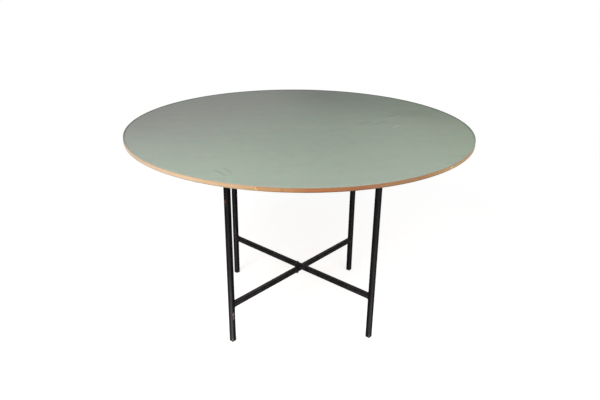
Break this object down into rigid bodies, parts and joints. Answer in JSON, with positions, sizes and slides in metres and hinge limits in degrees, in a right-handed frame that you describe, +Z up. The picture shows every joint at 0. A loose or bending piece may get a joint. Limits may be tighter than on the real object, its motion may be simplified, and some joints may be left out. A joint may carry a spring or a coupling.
{
  "type": "folding trestle table",
  "caption": "Round table with a loose linoleum-faced top, thin wood lipping and a folding cross trestle of slim black square tube, turning on upright bolts where its bars cross.",
  "frame": {"origin": "on the floor, under the centre of the round top", "axes": "+Z up, the picture's front at -Y and its right at +X; the two frames stand at 45 degrees to X and Y"},
  "size_m": [1.2, 1.2, 0.727],
  "materials": {
    "black_paint": "worn satin black paint on welded steel tube, chipped to red primer in places",
    "black_plastic": "moulded black plastic, scuffed",
    "dark_steel": "darkened steel bolt and nut, worn on the edges",
    "plain_steel": "dull zinc plate",
    "board": "lightly sanded birch veneer, bare on the underside",
    "linoleum": "worn matt sage green linoleum with faint streaks and scuffs",
    "pale_lipping": "oiled pale wood, rounded at its lower edge",
    "red_lipping": "oiled red-brown wood, rounded at its lower edge",
    "beech": "planed beech",
    "screw_steel": "yellow zinc"
  },
  "bodies": {
    "lower_frame": {"leg_front_left": "black_paint", "foot_front_left": "black_plastic", "pad_front_left": "black_plastic", "leg_back_right": "black_paint", "foot_back_right": "black_plastic", "pad_back_right": "black_plastic", "stretcher_lower": "black_paint", "rail_lower": "black_paint", "stretcher_spacer": "plain_steel", "stretcher_fixed_bush": "plain_steel", "rail_spacer": "plain_steel", "rail_fixed_bush": "plain_steel", "pivot_bolts": "dark_steel", "pivot_nuts": "dark_steel", "pivot_washers": "plain_steel"},
    "upper_frame": {"leg_front_right": "black_paint", "foot_front_right": "black_plastic", "pad_front_right": "black_plastic", "leg_back_left": "black_paint", "foot_back_left": "black_plastic", "pad_back_left": "black_plastic", "stretcher_upper": "black_paint", "rail_upper": "black_paint", "stretcher_turning_bush": "plain_steel", "rail_turning_bush": "plain_steel"},
    "tabletop": {"top_board": "board", "linoleum": "linoleum", "lipping_left": "pale_lipping", "lipping_right": "red_lipping", "block_screws": "screw_steel", "locating_block_front_left": "beech", "locating_block_back_right": "beech", "locating_block_front_right": "beech", "locating_block_back_left": "beech"}
  },
  "joints": [
    {"name": "fold", "type": "hinge", "parent": "lower_frame", "child": "upper_frame", "pos_m": [0, 0, 0.158], "axis": [0, 0, 1], "range_deg": [-86.5, 86.5]},
    {"name": "top_lift", "type": "slide", "parent": "lower_frame", "child": "tabletop", "axis": [0, 0, 1], "range_m": [0, 0.15]}
  ]
}
